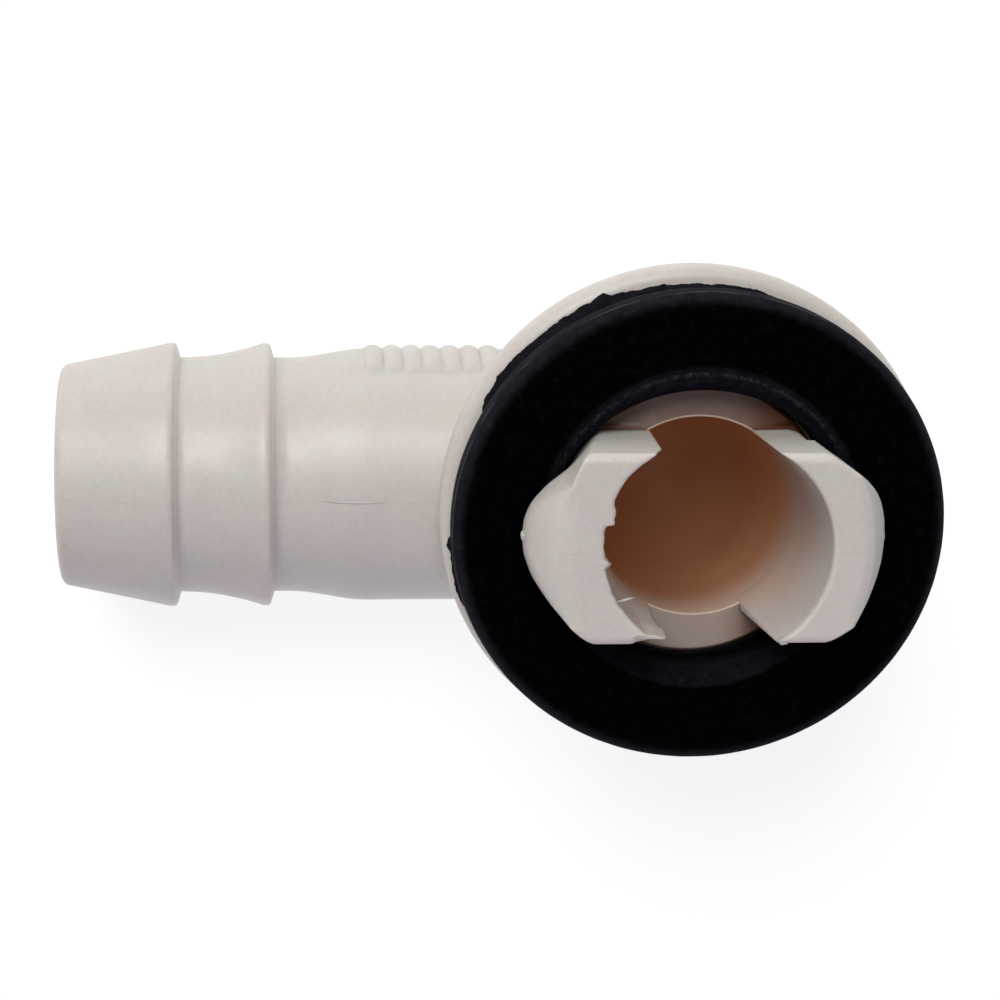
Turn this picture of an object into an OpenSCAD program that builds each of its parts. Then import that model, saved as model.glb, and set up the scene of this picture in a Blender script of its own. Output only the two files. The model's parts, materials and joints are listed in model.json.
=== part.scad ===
// Snap-in drain elbow with a barbed hose tail and a loose sealing ring. Millimetres, +Z up.
// The origin is on the spigot's axis, in the plane where a drain pan's underside rests on the seal.
// The spigot points up, and the hose tail points along -X.

/* [Hose tail] */
// Distance from the spigot's axis to the end of the hose tail
tail_reach = 42.1; // [38:0.1:60]
// Outside diameter of the tail's necks, which the hose's bore has to suit
tail_neck_d = 16.4; // [14:0.1:20]
// Thickness of the tail's wall at its necks
tail_wall = 2.4; // [1.6:0.1:3]
// Height of a barb's crest above its neck
barb_rise = 1; // [0.5:0.05:1.6]
// Height of the plain tube next to the bend above the last neck
tube_rise = 0.65; // [0.2:0.05:1.2]
// How far the tail's open end lies below the necks, on the radius
nose_drop = 0.45; // [0.1:0.05:0.8]
// Number of barbs
barb_count = 2; // [1:1:3]
// Distance from one crest to the next
barb_pitch = 6.5; // [5:0.1:8]
// Length of the first cone, from the tail's end to its crest
nose_len = 7.9; // [6:0.1:9]
// Width of the flat land on each crest
crest_land = 0.5; // [0.3:0.05:0.8]
// Length of the smooth rise from the last neck to the plain tube
shoulder_len = 5.5; // [3:0.1:6]
// Gap between the plain tube and the flange above it
tube_gap = 1.05; // [0.5:0.05:8]

/* [Spigot] */
// Bore of the spigot
bore_d = 13.5; // [11:0.1:18]
// Thickness of the spigot's wall
spigot_wall = 2.55; // [2:0.05:3.5]
// Height of the spigot's rim above the flange's seat
rim_h = 0.8; // [0.5:0.1:1.6]

/* [Claws] */
// Angle that a claw's root spans round the spigot's bore
claw_arc = 131; // [110:1:150]
// How much narrower a claw is at its top, on each side
claw_draft = 0; // [0:0.05:0.8]
// How far a claw's wall lies inside the neck's surface
claw_inset = 0.3; // [0.2:0.05:0.5]
// How far a hook's tip reaches out from its claw's wall
hook_reach = 2.7; // [1.8:0.1:3.4]
// Height of the upright land on a hook's tip
hook_land = 1.5; // [0.8:0.1:2.2]
// Height of the sloping lead above a hook's land
lead_h = 4; // [2.5:0.1:6]
// Radius of a hook's rounded tip, seen from above
hook_round = 3.9; // [3:0.1:4.6]
// Distance from the claw's outer wall in to where a hook's flank starts
flank_start = 1.5; // [1.5:0.1:3]
// How far the flat top reaches out from the claw's wall
top_ledge = 0.95; // [0.1:0.05:1.2]
// Growth of the inner radius from the rim to the claws' tops
claw_flare = 0.55; // [0.2:0.05:0.8]
// Room for the pan's sheet between the seal and the hooks
pan_gap = 1.1; // [0.8:0.1:2]

/* [Seal and flange] */
// Outside diameter of the seal
seal_d = 32; // [30:0.1:42]
// Height of the seal
seal_h = 3.7; // [3:0.1:5]
// Radius of the seal's rounded corners
seal_round = 1.25; // [0.5:0.05:1.45]
// Clearance between the seal's bore and the neck, on the radius
seal_gap = 0.15; // [0.1:0.05:0.5]
// Width of the flange's edge that shows round the seal
flange_lip = 0.6; // [0.3:0.1:2]
// Thickness of the flange
flange_h = 2.4; // [2:0.1:3.2]
// Radius of the flange's rounded edge
flange_round = 0.9; // [0.3:0.1:0.95]

/* [Flexing claws] */
// Depth below the rim of the line that a claw turns about
hinge_depth = 12; // [9:0.5:16]
// Gap between a claw's root and the crown that it turns on
crown_gap = 0.05; // [0.03:0.01:0.1]

/* [Hidden] */
$fn = 96;
plastic = [0.82, 0.80, 0.76];
rubber = [0.06, 0.06, 0.07];

// Small finishing sizes
end_round = 0.6;
crest_break = 0.15;
crest_back = 0.25;
rim_break = 0.3;
neck_run = 1;
bend_step = 0.45;
overlap = 0.5;
curve_steps = 10;

// Radii of the hose tail
tail_neck_r = tail_neck_d / 2;
tail_bore_r = tail_neck_r - tail_wall;
barb_r = tail_neck_r + barb_rise;
tube_r = tail_neck_r + tube_rise;
nose_r = tail_neck_r - nose_drop;

// Radii and reaches round the spigot's axis
bore_r = bore_d / 2;
neck_r = bore_r + spigot_wall;
barrel_r = max(neck_r, tube_r + bend_step);
seal_bore_r = neck_r + seal_gap;
flange_r = seal_d / 2 + flange_lip;
claw_r = neck_r - claw_inset;
tip_x = claw_r + hook_reach;
ledge_x = claw_r + top_ledge;
claw_root_half = bore_r * sin(claw_arc / 2);
claw_top_half = claw_root_half - claw_draft;

// Heights
seat_z = -seal_h;
rim_z = seat_z + rim_h;
tail_z = seat_z - flange_h - tube_gap - tube_r;
hook_z = pan_gap;
hook_top_z = hook_z + hook_land;
top_z = hook_top_z + lead_h;
claw_h = top_z - rim_z;

// A claw turns about a line under the middle of its wall.
// The crown under its root is round that line, and starts at the rim where the flats meet the bore.
hinge_x = (bore_r + claw_r) / 2;
hinge_z = rim_z - hinge_depth;
root_corner_x = bore_r * cos(claw_arc / 2);
crown_r = norm([hinge_x - root_corner_x, hinge_depth]);

// Distance of a crest from the spigot's axis, counted from the tail's end
function crest_at(i) = tail_reach - nose_len - i * barb_pitch;

// Points of an arc in a profile
function arc_points(centre, r, from, to) =
    [for (i = [0 : curve_steps])
        let (a = from + (to - from) * i / curve_steps)
        centre + r * [cos(a), sin(a)]];

// Hollow flare that rises from a neck to the crest of barb i
function flare_points(i) =
    [for (k = [0 : curve_steps])
        let (t = k / curve_steps,
             start = crest_at(i - 1) - crest_back,
             stop = crest_at(i) + crest_land)
        [tail_neck_r + barb_rise * t ^ 2, start + (stop - start) * t]];

// Crest of barb i, with its land, its broken edge and its steep back
function crest_points(i) = [
    [barb_r, crest_at(i) + crest_land],
    [barb_r, crest_at(i) + crest_break],
    [barb_r - crest_break, crest_at(i)],
    [tail_neck_r, crest_at(i) - crest_back]];

// Smooth rise from the last neck to the plain tube
function shoulder_points() =
    let (start = crest_at(barb_count - 1) - crest_back - neck_run)
    [for (k = [0 : curve_steps])
        let (t = k / curve_steps, rise = (1 - cos(180 * t)) / 2)
        [tail_neck_r + tube_rise * rise, start - shoulder_len * t]];

// Half section of the hose tail: radius, then distance from the spigot's axis
function tail_points() = concat(
    [[0, tail_reach]],
    arc_points([nose_r - end_round, tail_reach - end_round], end_round, 90, 0),
    crest_points(0),
    [for (i = [1 : 1 : barb_count - 1]) each concat(flare_points(i), crest_points(i))],
    shoulder_points(),
    [[tube_r, 0], [0, 0]]);

// Disc or ring section with rounded corners, from its inner radius to its outer one
module rounded_section(inner, outer, h, r, round_inside) {
    inner_round = round_inside ? r : 0;
    translate([inner + inner_round, 0]) square([outer - r - inner - inner_round, h]);
    translate([inner, r]) square([outer - inner, h - 2 * r]);
    for (y = [r, h - r]) translate([outer - r, y]) circle(r);
    if (round_inside) {
        for (y = [r, h - r]) translate([inner + r, y]) circle(r);
    }
}

// Outline of a hook from above, on the +X side
module hook_outline() {
    shoulder = [claw_r - flank_start, claw_root_half];
    centre = [tip_x - hook_round, 0];
    away = shoulder - centre;
    turn = atan2(away.y, away.x) - acos(hook_round / norm(away));
    touch = centre + hook_round * [cos(turn), sin(turn)];
    polygon([[0, -shoulder.y], [shoulder.x, -shoulder.y], [touch.x, -touch.y],
             touch, shoulder, [0, shoulder.y]]);
    translate(centre) circle(hook_round);
}

// Slab between the two flats of a claw, narrower at the top
module between_flats() {
    rotate([90, 0, 90])
        linear_extrude(tip_x + overlap)
            polygon([[-claw_root_half, rim_z - overlap], [claw_root_half, rim_z - overlap],
                     [claw_root_half, rim_z], [claw_top_half, top_z],
                     [-claw_top_half, top_z], [-claw_root_half, rim_z]]);
}

// Sloping lead on the outside of a hook, to cut away
module hook_lead() {
    far_x = tip_x + overlap;
    rotate([90, 0, 0])
        linear_extrude(2 * claw_root_half + overlap, center = true)
            polygon([[ledge_x, top_z], [tip_x, hook_top_z], [far_x, hook_top_z],
                     [far_x, top_z + overlap], [ledge_x, top_z + overlap]]);
}

// One claw on the +X side with its root, as if it had no flex line
module whole_claw() {
    difference() {
        intersection() {
            union() {
                translate([0, 0, rim_z - overlap]) cylinder(h = claw_h + overlap, r = claw_r);
                translate([0, 0, hook_z]) linear_extrude(top_z - hook_z) hook_outline();
            }
            between_flats();
        }
        hook_lead();
        translate([0, 0, rim_z])
            cylinder(h = claw_h + overlap, r1 = bore_r, r2 = bore_r + claw_flare * (1 + overlap / claw_h));
        translate([0, 0, rim_z - 2 * overlap]) cylinder(h = 3 * overlap, r = bore_r);
    }
}

// Round bar about the line that the +X claw turns on
module flex_bar(r) {
    translate([hinge_x, 0, hinge_z])
        rotate([90, 0, 0])
            cylinder(h = 4 * claw_root_half, r = r, center = true);
}

// Claw on the +X side, free to turn on its crown
module claw() {
    difference() {
        whole_claw();
        flex_bar(crown_r + crown_gap);
    }
}

// Neck with a broken top edge, from the flange to the rim
module neck() {
    rotate_extrude()
        polygon([[0, seat_z - flange_h / 2], [neck_r, seat_z - flange_h / 2], [neck_r, rim_z - rim_break],
                 [neck_r - rim_break, rim_z], [0, rim_z]]);
}

// Crowned stubs that the two claws stand on
module crowns() {
    for (side = [0, 1]) mirror([side, 0, 0]) {
        intersection() {
            whole_claw();
            flex_bar(crown_r);
        }
    }
}

// Outside of the elbow: flange, barrel, rounded bend and barbed tail
module elbow_outside() {
    translate([0, 0, seat_z - flange_h])
        rotate_extrude() rounded_section(0, flange_r, flange_h, flange_round, false);
    translate([0, 0, tail_z]) cylinder(h = seat_z - tail_z - flange_h / 2, r = barrel_r);
    translate([0, 0, tail_z]) sphere(r = barrel_r);
    translate([0, 0, tail_z]) rotate([0, -90, 0]) rotate_extrude() polygon(tail_points());
    neck();
}

// Water way: spigot bore, rounded bend and tail bore
module water_way() {
    translate([0, 0, tail_z]) cylinder(h = rim_z - tail_z + overlap, r = bore_r);
    translate([0, 0, tail_z]) sphere(r = bore_r);
    translate([0, 0, tail_z]) rotate([0, -90, 0]) cylinder(h = tail_reach + overlap, r = tail_bore_r);
}

module elbow() {
    color(plastic) {
        difference() {
            elbow_outside();
            water_way();
        }
        crowns();
    }
}

module claw_right() {
    color(plastic) claw();
}

module claw_left() {
    color(plastic) mirror([1, 0, 0]) claw();
}

module seal_ring() {
    color(rubber)
        translate([0, 0, seat_z])
            rotate_extrude() rounded_section(seal_bore_r, seal_d / 2, seal_h, seal_round, true);
}

elbow();
claw_left();
claw_right();
seal_ring();
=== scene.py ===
import json
import math

import bmesh
import bpy
import numpy as np
from mathutils import Matrix, Vector, noise
from mathutils.bvhtree import BVHTree


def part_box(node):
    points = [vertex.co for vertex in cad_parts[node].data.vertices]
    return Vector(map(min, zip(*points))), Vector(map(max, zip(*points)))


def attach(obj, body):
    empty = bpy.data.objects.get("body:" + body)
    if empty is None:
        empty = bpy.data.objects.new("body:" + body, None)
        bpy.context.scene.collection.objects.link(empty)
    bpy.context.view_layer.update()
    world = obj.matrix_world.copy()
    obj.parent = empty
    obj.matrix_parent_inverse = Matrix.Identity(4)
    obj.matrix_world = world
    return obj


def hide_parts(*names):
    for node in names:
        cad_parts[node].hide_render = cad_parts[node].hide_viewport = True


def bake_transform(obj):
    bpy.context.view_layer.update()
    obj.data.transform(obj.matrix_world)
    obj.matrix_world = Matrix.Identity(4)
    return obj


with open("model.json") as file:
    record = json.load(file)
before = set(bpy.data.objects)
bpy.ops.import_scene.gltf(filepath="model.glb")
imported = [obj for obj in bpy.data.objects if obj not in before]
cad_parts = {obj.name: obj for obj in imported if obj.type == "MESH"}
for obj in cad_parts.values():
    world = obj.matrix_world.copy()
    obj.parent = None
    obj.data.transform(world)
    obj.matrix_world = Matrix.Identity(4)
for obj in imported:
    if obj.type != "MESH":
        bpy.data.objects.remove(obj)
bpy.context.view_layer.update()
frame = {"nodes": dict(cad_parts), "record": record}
MM = 0.001

# ---------------------------------------------------------------- places from the frame, in mm
RECORD = frame["record"]
HOSE_TAIL = next(m for m in RECORD["mounts"] if m["name"] == "hose_tail")
TAIL_Z = HOSE_TAIL["pos_m"][2] / MM
ELBOW_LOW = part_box("elbow")[0] / MM
SEAL_LOW, SEAL_HIGH = (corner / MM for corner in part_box("seal_ring"))
CLAW_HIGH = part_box("claw_right")[1] / MM
SEAT_Z = SEAL_LOW.z
RIM_H = 0.8
RIM_Z = SEAT_Z + RIM_H
TOP_Z = CLAW_HIGH.z
TIP_X = CLAW_HIGH.x
BORE_R = 6.75
CLAW_R = 9.0
NECK_R = 9.3
TUBE_R = 8.85

# the left claw's inner wall widens by this much from the rim to its top, the right one's by a little less
WIDER_LEFT = 0.55
WIDER_RIGHT = 0.45
BORE_DRAFT = WIDER_LEFT / (TOP_Z - RIM_Z)

# the bore's mouth sits a little off the spigot's axis, towards +X and +Y
MOUTH = Vector((0.32, 0.12))
MOUTH_R = 6.70


# ---------------------------------------------------------------- small helpers
def smooth(value, low, high):
    """0 at low, 1 at high, with an eased rise between them."""
    t = min(1.0, max(0.0, (value - low) / (high - low)))
    return t * t * (3 - 2 * t)


def between(value, stops):
    """Height at a value among stops of (position, height), eased between neighbours."""
    if value <= stops[0][0]:
        return stops[0][1]
    for (p, h), (q, k) in zip(stops, stops[1:]):
        if value <= q:
            return h + (k - h) * smooth(value, p, q)
    return stops[-1][1]


def new_object(name, form, material):
    """Smooth-shaded object from a bmesh made in mm."""
    bmesh.ops.scale(form, vec=(MM, MM, MM), verts=form.verts)
    mesh = bpy.data.meshes.new(name)
    form.to_mesh(mesh)
    form.free()
    mesh.shade_smooth()
    mesh.materials.append(material)
    obj = bpy.data.objects.new(name, mesh)
    bpy.context.scene.collection.objects.link(obj)
    return obj


def add_grid(form, rows, closed_rows=False, capped=False):
    """Quads between rows of points. Each row is a closed loop."""
    made = [[form.verts.new(p) for p in row] for row in rows]
    pairs = list(zip(made, made[1:])) + ([(made[-1], made[0])] if closed_rows else [])
    for low, high in pairs:
        for i in range(len(low)):
            j = (i + 1) % len(low)
            form.faces.new((low[i], low[j], high[j], high[i]))
    if capped:
        form.faces.new(list(reversed(made[0])))
        form.faces.new(made[-1])


def add_blob(form, centre, size, seed):
    """Small uneven lump, as long on each axis as its three sizes say."""
    made = bmesh.ops.create_icosphere(form, subdivisions=3, radius=1.0)["verts"]
    for v in made:
        swell = 1 + 0.25 * noise.noise(v.co * 2 + Vector((seed, 0, 0)))
        v.co = Vector(centre) + Vector(c * s * swell for c, s in zip(v.co, size))


def add_sweep(form, path, radii):
    """Round bar along a path, with a radius at each point."""
    sides = 10
    ring = [math.tau * k / sides for k in range(sides)]
    rows = []
    for i, (p, r) in enumerate(zip(path, radii)):
        ahead = Vector(path[min(i + 1, len(path) - 1)]) - Vector(path[max(i - 1, 0)])
        turn = ahead.to_track_quat("Z", "Y")
        rows.append([Vector(p) + turn @ Vector((r * math.cos(a), r * math.sin(a), 0)) for a in ring])
    add_grid(form, rows, capped=True)


# ---------------------------------------------------------------- material helpers
class Nodes:
    """Short hand for building one material's node tree."""

    def __init__(self, name):
        self.material = bpy.data.materials.new(name)
        self.material.use_nodes = True
        self.tree = self.material.node_tree
        self.shader = next(n for n in self.tree.nodes if n.type == "BSDF_PRINCIPLED")
        self.place = self.add("ShaderNodeTexCoord").outputs["Object"]

    def add(self, kind, **settings):
        node = self.tree.nodes.new(kind)
        for key, value in settings.items():
            setattr(node, key, value)
        return node

    def feed(self, value, socket):
        """Link a socket, or set a plain number or colour on it."""
        if isinstance(value, bpy.types.NodeSocket):
            self.tree.links.new(value, socket)
        elif isinstance(value, (int, float)):
            socket.default_value = value
        else:
            socket.default_value = (*value, 1)

    def noise(self, scale, detail, roughness=0.55):
        node = self.add("ShaderNodeTexNoise")
        node.inputs["Scale"].default_value = scale
        node.inputs["Detail"].default_value = detail
        node.inputs["Roughness"].default_value = roughness
        self.feed(self.place, node.inputs["Vector"])
        return node.outputs["Fac"]

    def ramp(self, factor, stops):
        """Map a factor through stops of (position, colour or grey value)."""
        node = self.add("ShaderNodeValToRGB")
        elements = node.color_ramp.elements
        while len(elements) < len(stops):
            elements.new(0.5)
        for element, (position, value) in zip(elements, stops):
            element.position = position
            grey = isinstance(value, (int, float))
            element.color = (value, value, value, 1) if grey else (*value, 1)
        self.feed(factor, node.inputs["Fac"])
        return node.outputs["Color"]

    def rise(self, value, low, high):
        """0 at low and 1 at high, eased. High may be below low."""
        node = self.add("ShaderNodeMapRange", interpolation_type="SMOOTHSTEP")
        for name, number in (("From Min", low), ("From Max", high)):
            node.inputs[name].default_value = number
        self.feed(value, node.inputs["Value"])
        return node.outputs["Result"]

    def mix(self, factor, a, b, how="MIX"):
        node = self.add("ShaderNodeMix", data_type="RGBA", blend_type=how)
        colours = [s for s in node.inputs if s.type == "RGBA"]
        for socket, value in zip((node.inputs[0], *colours), (factor, a, b)):
            self.feed(value, socket)
        return next(s for s in node.outputs if s.type == "RGBA")

    def math(self, operation, a, b=0.0):
        node = self.add("ShaderNodeMath", operation=operation)
        for socket, value in zip(node.inputs, (a, b)):
            self.feed(value, socket)
        return node.outputs[0]

    def axes(self):
        node = self.add("ShaderNodeSeparateXYZ")
        self.feed(self.place, node.inputs[0])
        return node.outputs

    def radius(self, a, b):
        squares = self.math("ADD", self.math("MULTIPLY", a, a), self.math("MULTIPLY", b, b))
        return self.math("SQRT", squares)

    def bump(self, height, distance, strength, normal=None):
        node = self.add("ShaderNodeBump")
        node.inputs["Distance"].default_value = distance
        node.inputs["Strength"].default_value = strength
        self.feed(height, node.inputs["Height"])
        if normal:
            self.feed(normal, node.inputs["Normal"])
        return node.outputs["Normal"]

    def set(self, **values):
        for key, value in values.items():
            self.shader.inputs[key.replace("_", " ")].default_value = value


# ---------------------------------------------------------------- materials
# noise scales, in cells per metre
GRAIN = 2600
PATCHES = 260
GLOSS_PATCHES = 500
DUST = 1400
# patches of the painted highlight along the lip's top
CREST_PATCHES = 2400
# breaks in the painted highlight line round the outer corner
CORNER_LINE_BREAKS = 300
BLOOM = 700

IVORY = (0.560, 0.535, 0.490)
ROSE = (0.560, 0.515, 0.480)
PARTING_GREY = (0.30, 0.27, 0.24)
# painted shade and glow in the bores: a brown that darkens far down, and a faint brown glow there
BORE_SHADE_NEAR = (0.56, 0.43, 0.35)
BORE_SHADE_FAR = (0.30, 0.155, 0.085)
BORE_PAINTED_GLOW = (0.047, 0.0160, 0.0062)
# painted light and shade on the rim inside the seal: lighter on its -Y side, darker on its +Y side, darkest
# in the corners by the claws
RIM_LIT = (0.33, 0.27, 0.225)
RIM_SHADED = (0.20, 0.135, 0.105)
RIM_CORNER_SHADE = (0.12, 0.038, 0.012)


def parting_line(n, x, y):
    """Mask of the mould's parting line, which runs round the outside in the plane Y = 0."""
    line = n.rise(n.math("ABSOLUTE", y), 0.10 * MM, 0.03 * MM)
    outside = n.rise(n.radius(x, y), 7.6 * MM, 7.9 * MM)
    return n.math("MULTIPLY", line, n.math("MULTIPLY", outside, 0.10))


def bore_masks(n, x, y, z):
    """Masks of the spigot's bore and the tail's bore, which keep clear of the outside of the bend."""
    # the spigot's bore leans from its axis at the bend to the mouth's own centre
    lean = n.rise(z, TAIL_Z * MM, RIM_Z * MM)
    off_x = n.math("SUBTRACT", x, n.math("MULTIPLY", lean, MOUTH.x * MM))
    off_y = n.math("SUBTRACT", y, n.math("MULTIPLY", lean, MOUTH.y * MM))
    above_rim = n.math("MAXIMUM", n.math("SUBTRACT", z, RIM_Z * MM), 0.0)
    wall = n.math("SUBTRACT", n.radius(off_x, off_y), n.math("MULTIPLY", above_rim, BORE_DRAFT))
    in_spigot = n.rise(wall, (BORE_R + 0.10) * MM, (BORE_R + 0.03) * MM)
    tail_r = n.radius(y, n.math("SUBTRACT", z, TAIL_Z * MM))
    in_tail = n.math("MULTIPLY", n.rise(tail_r, 6.4 * MM, 6.0 * MM), n.rise(x, -40 * MM, -34 * MM))

    # at the bend both bores end inside a ball, well within the outer wall
    in_ball = n.rise(n.radius(x, tail_r), 7.9 * MM, 7.5 * MM)
    over_tail = n.math("MAXIMUM", in_ball, n.rise(z, (TAIL_Z - 0.2) * MM, TAIL_Z * MM))
    before_bend = n.math("MAXIMUM", in_ball, n.rise(x, 0.2 * MM, 0.0))
    return n.math("MULTIPLY", in_spigot, over_tail), n.math("MULTIPLY", in_tail, before_bend)


def add_bore_shade_and_glow(n, base, y, z, in_spigot, in_tail):
    """Painted shade and glow in the bores: the colour turns brown and darker far down, where shade falls,
    and stays lighter on the claws' -Y ends, where the key light falls; a faint painted glow far down stands
    in for light that passes through the wall.
    """
    # painted light and shade: the bore's walls turn brown below the claws' tops, but the claws' -Y ends
    # stay lighter, where the key light falls
    lit_end = n.math("MULTIPLY", n.rise(y, -4.0 * MM, -5.8 * MM), n.rise(z, -2.8 * MM, 0.5 * MM))
    bore_shade = n.math("MULTIPLY", in_spigot, n.rise(z, 6.2 * MM, -3 * MM))
    bore_shade = n.math("MULTIPLY", bore_shade, n.math("SUBTRACT", 1.0, lit_end))
    # painted shade: darker brown far down the spigot's bore and all through the tail's bore
    far_shade = n.math("MULTIPLY", in_spigot, n.rise(z, -2.0 * MM, -9.0 * MM))
    far_shade = n.math("MAXIMUM", far_shade, in_tail)
    base = n.mix(n.math("MAXIMUM", bore_shade, in_tail), base, BORE_SHADE_NEAR)
    # painted glow: the far bore gives off a faint brown light, though it is no lamp
    n.feed(n.mix(far_shade, (0.0, 0.0, 0.0), BORE_PAINTED_GLOW), n.shader.inputs["Emission Color"])
    return n.mix(far_shade, base, BORE_SHADE_FAR)


def add_rim_shade(n, base, x, y, z, in_spigot):
    """Painted shade on the rim inside the seal, most on its +Y side and in the corners by the claws."""
    rim = n.mix(n.rise(y, -7 * MM, 8 * MM), RIM_LIT, RIM_SHADED)
    by_right = n.rise(x, 1.8 * MM, 5.4 * MM)
    by_left = n.math("MULTIPLY", n.rise(x, -2.5 * MM, -6.5 * MM), 0.7)
    rim = n.mix(n.math("MAXIMUM", by_right, by_left), rim, RIM_CORNER_SHADE)
    below_top = n.rise(z, -2.2 * MM, -2.75 * MM)
    above_seat = n.rise(z, (SEAT_Z - 0.3) * MM, (SEAT_Z + 0.3) * MM)
    in_neck = n.rise(n.radius(x, y), (NECK_R + 0.2) * MM, NECK_R * MM)
    on_rim = n.math("MULTIPLY", in_neck, n.math("SUBTRACT", 1.0, in_spigot))
    return n.mix(n.math("MULTIPLY", on_rim, n.math("MULTIPLY", below_top, above_seat)), base, rim)


def make_plastic():
    """Off-white moulded plastic, a little translucent, with painted brown shade and a painted glow far down
    its bores, and painted shade on the rim inside the seal.
    """
    n = Nodes("moulded_plastic")
    x, y, z = n.axes()
    grain = n.noise(GRAIN, 2)
    patches = n.noise(PATCHES, 3)
    base = n.mix(n.rise(patches, 0.4, 0.65), IVORY, ROSE)
    base = n.mix(0.10, base, n.ramp(grain, [(0.35, 0.40), (0.65, 0.72)]), "OVERLAY")
    base = n.mix(parting_line(n, x, y), base, PARTING_GREY)
    in_spigot, in_tail = bore_masks(n, x, y, z)
    base = add_bore_shade_and_glow(n, base, y, z, in_spigot, in_tail)
    n.feed(add_rim_shade(n, base, x, y, z, in_spigot), n.shader.inputs["Base Color"])

    n.feed(n.ramp(n.noise(GLOSS_PATCHES, 4), [(0.3, 0.36), (0.75, 0.48)]), n.shader.inputs["Roughness"])
    soft_edges = n.add("ShaderNodeBevel", samples=4)
    soft_edges.inputs["Radius"].default_value = 0.15 * MM
    fine = n.bump(grain, 0.012 * MM, 0.5, soft_edges.outputs["Normal"])
    n.feed(n.bump(patches, 0.06 * MM, 0.4, fine), n.shader.inputs["Normal"])
    n.set(Subsurface_Weight=0.3, Subsurface_Scale=1.0 * MM, IOR=1.48, Emission_Strength=1.0)
    n.shader.inputs["Subsurface Radius"].default_value = (1.0, 0.6, 0.4)
    return n.material


RUBBER_FACE = [(0.54, (0.0005, 0.0005, 0.0006)), (0.78, (0.004, 0.004, 0.005))]
# painted highlight on the rounded outer edge
RUBBER_EDGE_HIGHLIGHT = [(0.35, (0.007, 0.0065, 0.009)), (0.75, (0.018, 0.017, 0.023))]
# painted highlights on the inner lip and along the lip's top
RUBBER_LIP_HIGHLIGHT = [(0.35, (0.0032, 0.0030, 0.0050)), (0.75, (0.010, 0.0095, 0.014))]
LIP_CREST_HIGHLIGHT = (0.035, 0.034, 0.042)
# painted highlight line round the outer corner
CORNER_HIGHLIGHT = (0.045, 0.043, 0.048)
LIP_CREST_R = 10.25


def make_rubber():
    """Very black moulded rubber with a little painted grey highlight on its rounded edges."""
    n = Nodes("black_rubber")
    x, y, z = n.axes()
    dust = n.noise(DUST, 6, 0.7)
    inner = n.rise(n.radius(x, y), 12.6 * MM, 12.0 * MM)
    outer = n.math("SUBTRACT", 1.0, inner)
    # painted highlight: the rounded outer edge is a lighter grey than the face
    rounded = n.rise(z, -0.01 * MM, -0.40 * MM)
    colour = n.mix(n.math("MULTIPLY", rounded, outer), n.ramp(dust, RUBBER_FACE), n.ramp(dust, RUBBER_EDGE_HIGHLIGHT))

    # painted highlight: the seal's inner lip is a little greyer, with a lighter line in patches round its
    # top on the +Y side
    lip_r = n.radius(n.math("SUBTRACT", x, 0.2 * MM), n.math("ADD", y, 0.1 * MM))
    lip_on = n.math("MULTIPLY", n.rise(lip_r, 10.9 * MM, 10.5 * MM), n.rise(z, -2.6 * MM, -1.6 * MM))
    colour = n.mix(lip_on, colour, n.ramp(dust, RUBBER_LIP_HIGHLIGHT))
    off_crest = n.math("ABSOLUTE", n.math("SUBTRACT", lip_r, LIP_CREST_R * MM))
    highlight_patches = n.rise(n.noise(CREST_PATCHES, 6, 0.7), 0.40, 0.75)
    crest = n.math("MULTIPLY", n.rise(off_crest, 0.22 * MM, 0.05 * MM), highlight_patches)
    colour = n.mix(n.math("MULTIPLY", crest, n.rise(y, -4 * MM, 4 * MM)), colour, LIP_CREST_HIGHLIGHT)

    # painted highlight: a lighter line round the outer corner, broken into patches
    off_line = n.math("ABSOLUTE", n.math("ADD", z, 0.95 * MM))
    broken = n.rise(n.noise(CORNER_LINE_BREAKS, 3), 0.35, 0.6)
    line = n.math("MULTIPLY", n.rise(off_line, 0.16 * MM, 0.04 * MM), broken)
    colour = n.mix(n.math("MULTIPLY", line, outer), colour, CORNER_HIGHLIGHT)
    n.feed(colour, n.shader.inputs["Base Color"])
    n.feed(n.ramp(n.noise(BLOOM, 5), [(0.3, 0.55), (0.75, 0.75)]), n.shader.inputs["Roughness"])
    n.feed(n.bump(dust, 0.03 * MM, 0.5), n.shader.inputs["Normal"])
    n.set(IOR=1.4, Specular_IOR_Level=0.008, Sheen_Weight=0.02, Sheen_Roughness=0.45)
    n.shader.inputs["Sheen Tint"].default_value = (0.75, 0.75, 1.0, 1)
    return n.material


PLASTIC = make_plastic()
RUBBER = make_rubber()


def give_material(obj, material):
    """The CAD nodes carry the materials too."""
    obj.data.materials.clear()
    obj.data.materials.append(material)


for name in ("elbow", "claw_left", "claw_right"):
    give_material(frame["nodes"][name], PLASTIC)
give_material(frame["nodes"]["seal_ring"], RUBBER)


# ---------------------------------------------------------------- elbow
CUT_Z = RIM_Z + 0.002
SHARP_ANGLE = math.radians(24)


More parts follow.
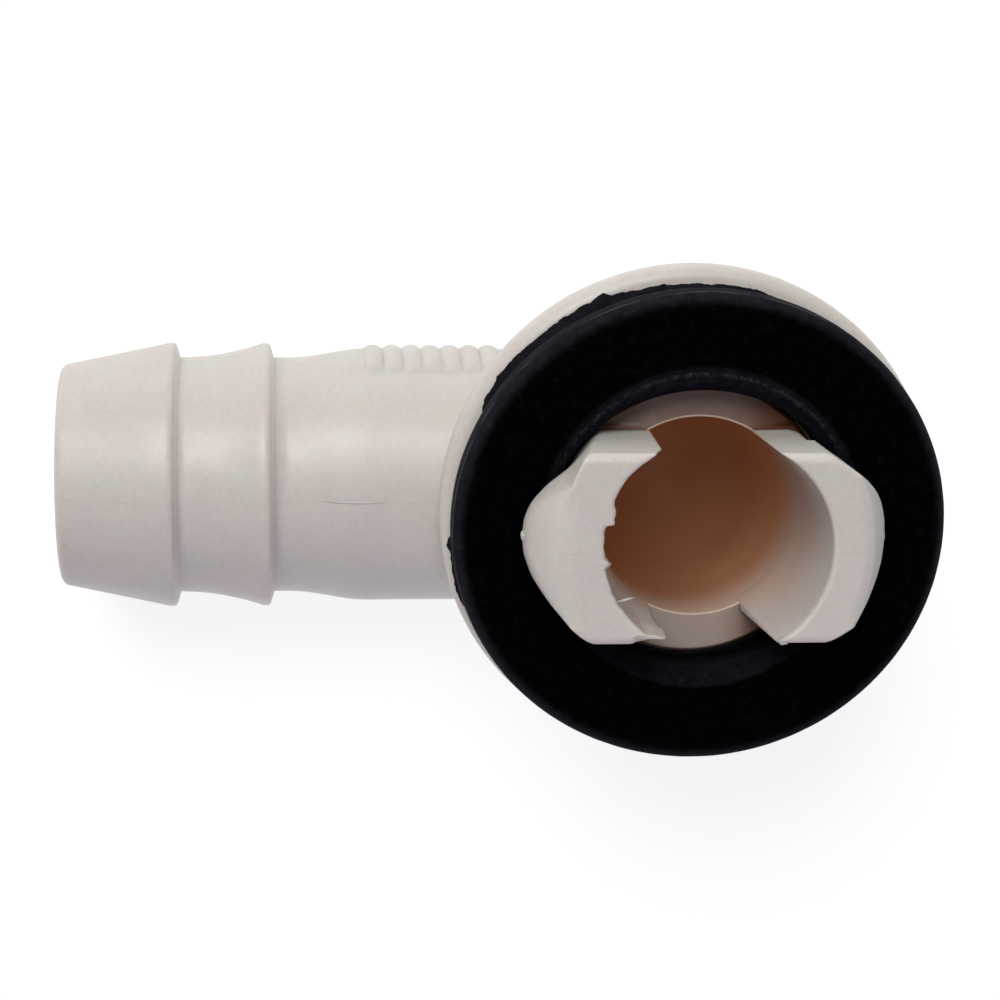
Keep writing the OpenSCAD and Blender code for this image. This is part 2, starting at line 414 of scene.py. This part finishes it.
def make_elbow():
    """The CAD elbow, less the stubs that the claws' own feet cover."""
    form = bmesh.new()
    form.from_mesh(frame["nodes"]["elbow"].data)
    bmesh.ops.scale(form, vec=(1 / MM,) * 3, verts=form.verts)
    bmesh.ops.remove_doubles(form, verts=form.verts, dist=0.001)
    parts = form.verts[:] + form.edges[:] + form.faces[:]
    level, up = (0, 0, CUT_Z), (0, 0, 1)
    cut = bmesh.ops.bisect_plane(form, geom=parts, plane_co=level, plane_no=up, clear_outer=True)
    rims = [e for e in cut["geom_cut"] if isinstance(e, bmesh.types.BMEdge) and e.is_boundary]
    bmesh.ops.contextual_create(form, geom=rims)

    # the bore's mouth moves to its own centre
    for v in form.verts:
        if v.co.z > RIM_Z - 0.1 and v.co.xy.length < BORE_R + 0.1:
            v.co.xy = v.co.xy * (MOUTH_R / BORE_R) + MOUTH
    elbow = new_object("elbow_moulding", form, PLASTIC)
    elbow.data.set_sharp_from_angle(angle=SHARP_ANGLE)
    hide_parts("elbow")
    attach(elbow, "elbow")


make_elbow()


# ---------------------------------------------------------------- claws
HALF = CLAW_HIGH.y
FOOT_Z = RIM_Z - 6.0
HOOK_Z = 1.1
LAND_TOP_Z = 2.6
LEDGE_X = 9.85
STATIONS = 150

# the claws lean a little towards +Y, from a small shift towards -Y at their foot
CLAW_LEAN = 0.38
CLAW_SHIFT = -0.2

# the claws' inner wall stands just proud of the bore and sinks at its foot
PROUD = 0.02
FOOT_SUNK = 0.3

# how far below the rim the bore is back on the spigot's axis
LEAN_DEPTH = 12

# how near the plane X = 0 the blunt -Y ends come at the rim, and how much less with height
BLUNT_LEFT = 2.7
BLUNT_RIGHT = 3.45
BLUNT_DRAFT = 0.08

# radii of the rounds along the edges of the claws' end faces
TOP_ROUND = 0.60
LAND_ROUND = 0.40
WALL_ROUND = 0.30
UNDER_ROUND = 0.20
INNER_ROUND = 0.10

# how far out each hook stands, by the place across it from -Y to +Y
HOOK_LEFT = [
    (-6.4, 7.4), (-5.9, 8.05), (-5.2, 8.9), (-3.9, 10.2), (-2.6, 11.1), (-1.2, 11.6), (0, 11.7),
    (1.1, 11.6), (2.2, 11.15), (3.3, 10.2), (4.0, 9.3), (4.4, 8.75), (4.9, 8.3), (5.6, 7.7), (6.4, 7.0),
]
HOOK_RIGHT = [
    (-6.4, 7.1), (-5.9, 7.75), (-4.9, 9.3), (-3.9, 10.4), (-2.6, 11.15), (-1.5, 11.55), (0, 11.7),
    (1.2, 11.65), (2.4, 11.3), (3.2, 10.8), (4.1, 9.9), (5.0, 8.7), (5.4, 8.1), (5.9, 7.35), (6.4, 6.9),
]
OUTLINE_ROUND = 0.3

# inner radius of the torn left claw at its top, by angle from -X towards +Y, in degrees
TORN_EDGE = [
    (-60, 6.6), (-50, 6.75), (-38, 6.8), (-22, 6.95), (-8, 7.0), (-6.5, 6.75), (-5, 6.75), (-3, 7.0),
    (5, 7.1), (12, 7.2), (14, 7.15), (16, 6.7), (20, 6.85), (29, 7.35), (42, 7.45), (50, 7.42), (57, 7.38),
]


def hook_reach(y, side):
    """How far out the hook stands at y, with its outline's corners a little rounded."""
    places, reaches = zip(*(HOOK_RIGHT if side > 0 else HOOK_LEFT))
    near = [y + OUTLINE_ROUND * k for k in (-1, -0.5, 0, 0.5, 1)]
    return sum(np.interp(near, places, reaches)) / len(near)


def inner_circle(z, side):
    """Centre and radius of the claw's inner wall at a height."""
    above = max(0.0, z - RIM_Z) / (TOP_Z - RIM_Z)
    below = max(0.0, RIM_Z - z)
    lean = 1 - below / LEAN_DEPTH
    centre = Vector((MOUTH.x * side, MOUTH.y)) * lean
    flush = MOUTH_R * lean + BORE_R * (1 - lean)
    wider = WIDER_RIGHT if side > 0 else WIDER_LEFT
    return centre, flush - PROUD + FOOT_SUNK * smooth(below, 1.0, 4.0) + wider * above


def wall_radius(angle, z, side):
    """Distance of the claw's inner wall from the spigot's axis, at an angle in degrees."""
    centre, r = inner_circle(z, side)
    way = Vector((math.cos(math.radians(angle)), math.sin(math.radians(angle))))
    along = centre.dot(way)
    return along + math.sqrt(r * r - centre.length_squared + along * along)


def claw_section(t, side):
    """Section of the claw at share t of its half width, -1 to 1.

    Each point also has the way that its edge at the claw's end rounds off, and the radius.
    """
    def at(z):
        return t * HALF + CLAW_LEAN * max(0.0, z - RIM_Z) / (TOP_Z - RIM_Z) + CLAW_SHIFT

    reach = hook_reach(at(LAND_TOP_Z), side)
    overhang = 1.3 * smooth(at(TOP_Z), 3.0, 5.2) if side < 0 else 0.0
    top_x = min(LEDGE_X - 0.04 * at(TOP_Z) ** 2, reach - 0.15 + overhang)
    lead_x = max(reach, top_x + 0.1)
    slope = (TOP_Z - LAND_TOP_Z) / (TIP_X - LEDGE_X)
    lead_z = max(LAND_TOP_Z, TOP_Z - slope * (lead_x - top_x))
    legs = []

    def sunk(z):
        # the foot's two ends dive into the neck, so that no edge shows in the bore
        return FOOT_SUNK * smooth(abs(t), 0.90, 0.98) * smooth(RIM_Z - z, 0.05, 0.6)

    def inner(z):
        centre, r = inner_circle(z, side)
        x = centre.x + math.sqrt(r ** 2 - (at(z) - centre.y) ** 2) + sunk(z)
        # the thin edge that the wall would have at its -Y end is cut off
        blunt = (BLUNT_RIGHT if side > 0 else BLUNT_LEFT) + BLUNT_DRAFT * (z - RIM_Z)
        return max(x, blunt) if at(z) < 0 and z > RIM_Z - 0.5 else x

    def wall(z):
        return math.sqrt(CLAW_R ** 2 - at(z) ** 2)

    def line(a, b):
        return lambda k: (a[0] + (b[0] - a[0]) * k, a[1] + (b[1] - a[1]) * k)

    def upright(face, start, end):
        return lambda k: (face(start + (end - start) * k), start + (end - start) * k)

    def leg(count, point, way, rounding):
        for i in range(count):
            x, z = point(i / count)
            legs.append((x, at(z), z, way, rounding))

    leg(60, upright(inner, FOOT_Z, TOP_Z), (1, 0), INNER_ROUND)
    leg(16, line((inner(TOP_Z), TOP_Z), (top_x, TOP_Z)), (0, -1), TOP_ROUND)
    leg(18, line((top_x, TOP_Z), (lead_x, lead_z)), (-0.6, -0.8), TOP_ROUND)
    leg(10, line((lead_x, lead_z), (reach, HOOK_Z)), (-1, 0), LAND_ROUND)
    leg(10, line((reach, HOOK_Z), (wall(HOOK_Z), HOOK_Z)), (0, 1), UNDER_ROUND)
    leg(24, upright(wall, HOOK_Z, FOOT_Z), (-1, 0), WALL_ROUND)
    leg(8, line((wall(FOOT_Z), FOOT_Z), (inner(FOOT_Z), FOOT_Z)), (0, 1), INNER_ROUND)
    return legs


def round_end(legs, t):
    """Rounds the edges of the claw's two end faces."""
    def inset(rounding):
        k = 1 - min(1.0, (1 - abs(t)) * HALF / rounding)
        return rounding * (1 - math.sqrt(1 - k * k))

    top = TOP_Z - inset(TOP_ROUND)
    points = []
    for x, y, z, way, rounding in legs:
        points.append((x + way[0] * inset(rounding), y, min(top, z + way[1] * inset(rounding))))
    return points


def soften(points, rounds, share):
    """Rounds the section's corners: each point moves towards the middle of its two neighbours."""
    for _ in range(rounds):
        middle = (np.roll(points, 1, axis=1) + np.roll(points, -1, axis=1)) / 2
        points = points + share[None, :, None] * (middle - points)
    return points


def tear(x, y, z):
    """The left claw's torn inner wall, thicker at its two ends and chipped at its -Y tip."""
    r, angle = math.hypot(x, y), math.degrees(math.atan2(y, x))
    inner = 1 - smooth(r, 7.4, 8.4)
    torn = between(angle, TORN_EDGE) - wall_radius(angle, z, -1)
    place = Vector((x, y, z))
    rag = 0.07 * noise.noise(place * 2.2) + 0.05 * noise.noise(place * 5)
    rag *= smooth(z, 4.5, 6) * (1 - smooth(abs(angle + 5), 30, 40))

    # the tear reaches further down towards the claw's -Y end
    if angle >= 48:
        down = smooth(z, 4.4, 6.2)
    elif angle > -12:
        down = smooth(z, 2.2, 5.6)
    else:
        down = smooth(z, -1.0, 2.0)
    r_new = r + inner * (down * torn + rag)

    # along the two end faces points slide in x only, so that those faces stay flat
    on_end = smooth(abs(angle), 36, 46)
    slid = math.sqrt(max(1.0, r_new ** 2 - y ** 2))
    scale = r_new / r
    x, y = x * scale * (1 - on_end) + slid * on_end, y * (scale * (1 - on_end) + on_end)
    y += 0.3 * smooth(-y, 5.2, 5.7) * (1 - smooth(x, 4.9, 5.1)) * smooth(z, 2.0, 4.0)
    return x, y, z


def add_burrs(form, side):
    """Nubs of flash left on the claw by the mould."""
    add_blob(form, (side * (TIP_X - 0.15), 0.0, 1.85), (0.28, 0.42, 0.5), seed=side)
    if side < 0:
        add_blob(form, (-7.05, -0.75, 6.2), (0.45, 0.22, 0.25), seed=3)
        add_blob(form, (-7.15, -2.0, 6.15), (0.32, 0.55, 0.25), seed=4)
    else:
        add_blob(form, (4.55, -5.85, 6.1), (0.34, 0.24, 0.30), seed=5)


def add_curl(form):
    """Thin curled thread of flash on the left claw's inner wall."""
    steps = 14
    path, radii = [], []
    for i in range(steps + 1):
        t = i / steps
        path.append((-6.15 + 1.2 * t, -3.45 + 0.95 * t - 0.6 * t * t, 5.5 + 0.4 * math.sin(3 * t)))
        radii.append(0.03 + 0.05 * math.sin(math.pi * t))
    add_sweep(form, path, radii)


def claw_rows(side):
    """Loops of points from the claw's -Y end to its +Y end, closer together near the ends."""
    even = [2 * i / STATIONS - 1 for i in range(STATIONS + 1)]
    shares = [0.5 * math.sin(math.pi / 2 * t) + 0.5 * t for t in even]
    points = np.array([round_end(claw_section(t, side), t) for t in shares])
    high, out = points[:, :, 2].mean(axis=0), points[:, :, 0].mean(axis=0)
    points = soften(points, 2, np.full(len(high), 0.5) * (high > FOOT_Z + 1))

    # the ledge between the top and the lead-in slope is rounder, most of all on the left claw
    ledge = 0.5 * np.clip((out - 8.0) / 0.8, 0, 1) * np.clip((high - 1.6) / 1.0, 0, 1)
    points = soften(points, 24 if side < 0 else 9, ledge)
    rows = []
    for section in points:
        row = [tear(*p) if side < 0 else tuple(p) for p in section]
        rows.append([(x * side, y, z) for x, y, z in row])
    return rows


def make_claw(side, node):
    """Claw with its foot, its soft edges and its burrs."""
    form = bmesh.new()
    add_grid(form, claw_rows(side), capped=True)
    bmesh.ops.recalc_face_normals(form, faces=form.faces)
    add_burrs(form, side)
    if side < 0:
        add_curl(form)
    claw = new_object(f"{node}_moulding", form, PLASTIC)
    for face in claw.data.polygons:
        face.use_smooth = len(face.vertices) <= 4
    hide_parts(node)
    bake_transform(claw)


make_claw(-1, "claw_left")
make_claw(1, "claw_right")


# ---------------------------------------------------------------- seal
SEAL_STEPS = 288
SEAL_ROUND = 1.3
LIP_ROUND = 1.9
ROUND_STEPS = 8
FACE_STEPS = 6


def ellipse(angle, centre, halves):
    return Vector((centre[0] + halves[0] * math.cos(angle), centre[1] + halves[1] * math.sin(angle)))


def seal_section(angle):
    """Section of the seal at an angle, as points (x, y, z).

    The seal sits squeezed and a little off centre, so each of its edges is its own ellipse.
    """
    low_bore = ellipse(angle, (0, 0), (NECK_R + 0.12, NECK_R + 0.12))
    bore = ellipse(angle, (0.3, -0.5), (10.1, 9.3))
    face_in = ellipse(angle, (0.3, -0.4), (11.2, 10.35))
    face_out = ellipse(angle, (0.27, -0.27), (15.0, 14.4))
    side = ellipse(angle, (0.27, -0.32), (16.30, 15.72))
    foot = ellipse(angle, (0.2, -0.45), (15.6, 15.2))
    low, high = SEAT_Z + 0.02, SEAL_HIGH.z
    points = [(*low_bore, low), (*low_bore, low + 0.8)]

    # the inner lip, with two low ridges
    for i in range(ROUND_STEPS + 1):
        t = math.pi / 2 * i / ROUND_STEPS
        ridge = 0.10 if i in (3, 6) else 0.0
        p = bore.lerp(face_in, 1 - math.cos(t))
        points.append((*p, high - LIP_ROUND * (1 - math.sin(t)) + ridge))
    for i in range(1, FACE_STEPS):
        points.append((*face_in.lerp(face_out, i / FACE_STEPS), high))

    # the outer corner, with the mould line's ridge
    for i in range(ROUND_STEPS + 1):
        t = math.pi / 2 * i / ROUND_STEPS
        ridge = 0.04 if i == 4 else 0.0
        p = face_out.lerp(side, math.sin(t))
        points.append((*p, high - SEAL_ROUND * (1 - math.cos(t)) + ridge))
    points.append((*side, low + 1.3))
    points.append((*side.lerp(foot, 0.35), low + 0.5))
    points.append((*foot, low))
    return points


def make_seal():
    """The seal, lofted round from its sections, with a slightly uneven surface."""
    form = bmesh.new()
    columns = [seal_section(math.tau * i / SEAL_STEPS) for i in range(SEAL_STEPS)]
    for column in columns:
        column.reverse()
    add_grid(form, [list(row) for row in zip(*columns)], closed_rows=True)
    bmesh.ops.recalc_face_normals(form, faces=form.faces)
    for v in form.verts:
        v.co += v.normal * 0.012 * noise.noise(v.co * 1.1)
    seal = new_object("seal_moulding", form, RUBBER)
    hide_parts("seal_ring")
    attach(seal, "seal_ring")


# reach of each stretch of flash round the seal's foot, by angle in degrees
FLASH = [
    [(56, 15.0), (66, 15.3), (75, 15.55), (90, 15.45), (104, 15.55), (111, 15.7), (113, 16.05),
     (117, 15.85), (130, 15.8), (142, 15.95), (150, 15.85), (157, 15.3)],
    [(183, 15.6), (187, 16.3), (189, 16.1), (198, 16.3), (206, 16.1), (212, 15.5)],
]
FLASH_Z = SEAT_Z + 0.03
FLASH_IN_R = 14.6
FLASH_FADE = 12


def make_flash():
    """Thin ragged film of rubber that the mould left round the seal's foot."""
    form = bmesh.new()
    for stops in FLASH:
        start, end = stops[0][0], stops[-1][0]
        steps = (end - start) * 4
        loops = []
        for i in range(steps + 1):
            degrees = start + (end - start) * i / steps
            a = math.radians(degrees)
            rag = 0.10 * noise.noise(Vector((degrees * 0.35, 0, 0)))
            rag += 0.06 * noise.noise(Vector((degrees, 0, 3)))
            fade = smooth(i, 0, FLASH_FADE) * smooth(steps - i, 0, FLASH_FADE)
            out = between(degrees, stops) + rag * fade
            way = Vector((math.cos(a), math.sin(a)))
            inside = [(FLASH_IN_R, FLASH_Z + 0.3), (FLASH_IN_R, FLASH_Z)]
            outside = [(out, FLASH_Z), (out - 0.03, FLASH_Z + 0.10)]
            loops.append([(*(way * r), z) for r, z in inside + outside])
        add_grid(form, loops, capped=True)
    bmesh.ops.recalc_face_normals(form, faces=form.faces)
    film = new_object("seal_flash", form, RUBBER)
    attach(film, "seal_ring")


make_seal()
make_flash()


# ---------------------------------------------------------------- ribs and parting bead on the tube
RIB_COUNT = 7
RIB_PITCH = 1.35
RIB_START = -20.6
RIB_HEIGHT = 0.36
RIB_LOW = -14
RIB_SPAN = 42
BEAD_START = -24.4
BEAD_LENGTH = 4.6
BEAD_STEPS = 24


def make_ribs():
    """Row of low rounded ribs across the tube's +Y side, as one skin that dives under the tube's wall."""
    form = bmesh.new()
    low_x, high_x = RIB_START - RIB_PITCH * 0.6, RIB_START + RIB_PITCH * (RIB_COUNT - 0.4)
    across, around = 150, 40
    rows = []
    for j in range(around + 1):
        a = math.radians(RIB_LOW + RIB_SPAN * j / around)
        fade = smooth(j, 0, 9) * smooth(around - j, 0, 9)
        row = []
        for i in range(across + 1):
            x = low_x + (high_x - low_x) * i / across
            step = (x - RIB_START) / RIB_PITCH
            dome = max(0.0, math.cos(math.pi * (step - round(step)))) ** 0.6
            r = TUBE_R - 0.05 + RIB_HEIGHT * fade * dome * smooth(i, 0, 4) * smooth(across - i, 0, 4)
            row.append(form.verts.new((x, r * math.cos(a), TAIL_Z + r * math.sin(a))))
        rows.append(row)
    for low, high in zip(rows, rows[1:]):
        for i in range(across):
            form.faces.new((low[i], high[i], high[i + 1], low[i + 1]))
    bmesh.ops.recalc_face_normals(form, faces=form.faces)
    ribs = new_object("tube_ribs", form, PLASTIC)
    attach(ribs, "elbow")


def make_parting_bead():
    """Raised stretch of the parting line along the top of the tube, half sunk in its wall."""
    walls = bmesh.new()
    walls.from_mesh(frame["nodes"]["elbow"].data)
    tree = BVHTree.FromBMesh(walls)
    path, radii = [], []
    for i in range(BEAD_STEPS + 1):
        t = i / BEAD_STEPS
        above = Vector((BEAD_START + BEAD_LENGTH * t, 0.02, TAIL_Z + 2 * TUBE_R)) * MM
        wall = tree.ray_cast(above, Vector((0, 0, -1)))[0] / MM
        path.append(wall - Vector((0, 0, 0.05)))
        radii.append(0.04 + 0.07 * math.sin(math.pi * t))
    walls.free()
    form = bmesh.new()
    add_sweep(form, path, radii)
    bead = new_object("parting_bead", form, PLASTIC)
    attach(bead, "elbow")


make_ribs()
make_parting_bead()


# ---------------------------------------------------------------- floor, light and camera
FLOOR_HALF = 1500
CAMERA_AIM = Vector((-12.66, 1.03, SEAT_Z)) * MM
CAMERA_DISTANCE = 159.3 * MM
CAMERA_ELEVATION = math.radians(75.54)
CAMERA_TURN = math.radians(22.0)
CAMERA_ROLL = math.radians(1.13)
CAMERA_LENS = 87.1


def make_floor():
    """Plain pale floor that glows a little, so that it stays nearly white."""
    form = bmesh.new()
    bmesh.ops.create_grid(form, x_segments=1, y_segments=1, size=FLOOR_HALF)
    n = Nodes("pale_floor")
    n.set(Base_Color=(0.32, 0.32, 0.32, 1), Roughness=0.9, Emission_Strength=0.78)
    n.shader.inputs["Emission Color"].default_value = (1, 1, 1, 1)
    floor = new_object("floor", form, n.material)
    floor.location.z = (ELBOW_LOW.z - 0.2) * MM


def make_area_light(name, place, size, power, colour):
    data = bpy.data.lights.new(name, "AREA")
    data.shape = "DISK"
    data.size = size
    data.energy = power
    data.color = colour
    light = bpy.data.objects.new(name, data)
    light.location = place
    light.rotation_mode = "QUATERNION"
    light.rotation_quaternion = (-Vector(place)).to_track_quat("-Z", "Y")
    bpy.context.scene.collection.objects.link(light)


def make_world(strength, colour):
    world = bpy.data.worlds.new("studio")
    world.use_nodes = True
    background = world.node_tree.nodes["Background"]
    background.inputs["Color"].default_value = (*colour, 1)
    background.inputs["Strength"].default_value = strength
    bpy.context.scene.world = world


def make_camera():
    """Looks down on the spigot's end, from a little towards the -X and +Y sides."""
    flat = math.cos(CAMERA_ELEVATION)
    back = Vector((-flat * math.sin(CAMERA_TURN), flat * math.cos(CAMERA_TURN), math.sin(CAMERA_ELEVATION)))
    across = Vector((0, 1, 0)).cross(back).normalized()
    turned = Matrix((across, back.cross(across), back)).transposed()
    rolled = turned @ Matrix.Rotation(CAMERA_ROLL, 3, "Z")
    data = bpy.data.cameras.new("camera")
    data.sensor_width = 36
    data.lens = CAMERA_LENS
    data.clip_start = 1 * MM
    data.clip_end = 10
    camera = bpy.data.objects.new("camera", data)
    camera.matrix_world = Matrix.Translation(CAMERA_AIM + back * CAMERA_DISTANCE) @ rolled.to_4x4()
    bpy.context.scene.collection.objects.link(camera)
    bpy.context.scene.camera = camera


make_floor()
make_world(0.30, (0.96, 0.92, 1.0))
make_area_light("key", (-0.16, 0.42, 0.52), 0.42, 3.85, (1.0, 0.99, 0.96))
make_area_light("fill", (0.15, -0.5, 0.25), 0.4, 0.55, (0.78, 0.66, 1.0))
make_camera()
bpy.context.scene.view_settings.view_transform = "Standard"
